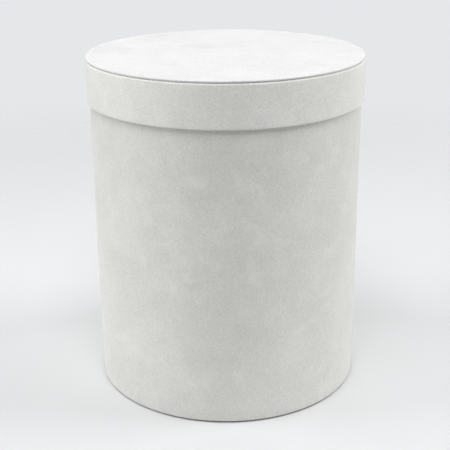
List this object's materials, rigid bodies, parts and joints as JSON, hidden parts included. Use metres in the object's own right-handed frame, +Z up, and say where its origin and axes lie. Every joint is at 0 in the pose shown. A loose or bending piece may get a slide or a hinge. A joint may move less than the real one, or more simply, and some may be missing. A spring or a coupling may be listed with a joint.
{
  "type": "round flower box with lid",
  "caption": "Tall round greyboard box covered in pale suede-like pile fabric, with a lift-off cap lid, for holding and giving cut flowers.",
  "frame": {"origin": "centre of the box's underside, on the surface that it stands on", "axes": "+Z up along the axis of the box, -Y towards the front, +X to the right; the covering's lap seams are at the back, +Y"},
  "size_m": [0.23, 0.23, 0.281],
  "materials": {
    "pile_fabric": "matte",
    "greyboard": "matte",
    "lining_paper": "matte",
    "base_paper": "matte"
  },
  "bodies": {
    "box": {"body_tube": "greyboard", "body_cover": "pile_fabric", "body_lining": "lining_paper", "base_board": "greyboard", "base_cover": "base_paper", "base_lining": "lining_paper"},
    "lid": {"lid_ring": "greyboard", "lid_band_cover": "pile_fabric", "lid_ring_lining": "lining_paper", "lid_board": "greyboard", "lid_top_cover": "pile_fabric", "lid_board_lining": "lining_paper"}
  },
  "joints": [
    {"name": "lid_lift", "type": "slide", "parent": "box", "child": "lid", "axis": [0, 0, 1], "range_m": [0, 0.3]}
  ]
}
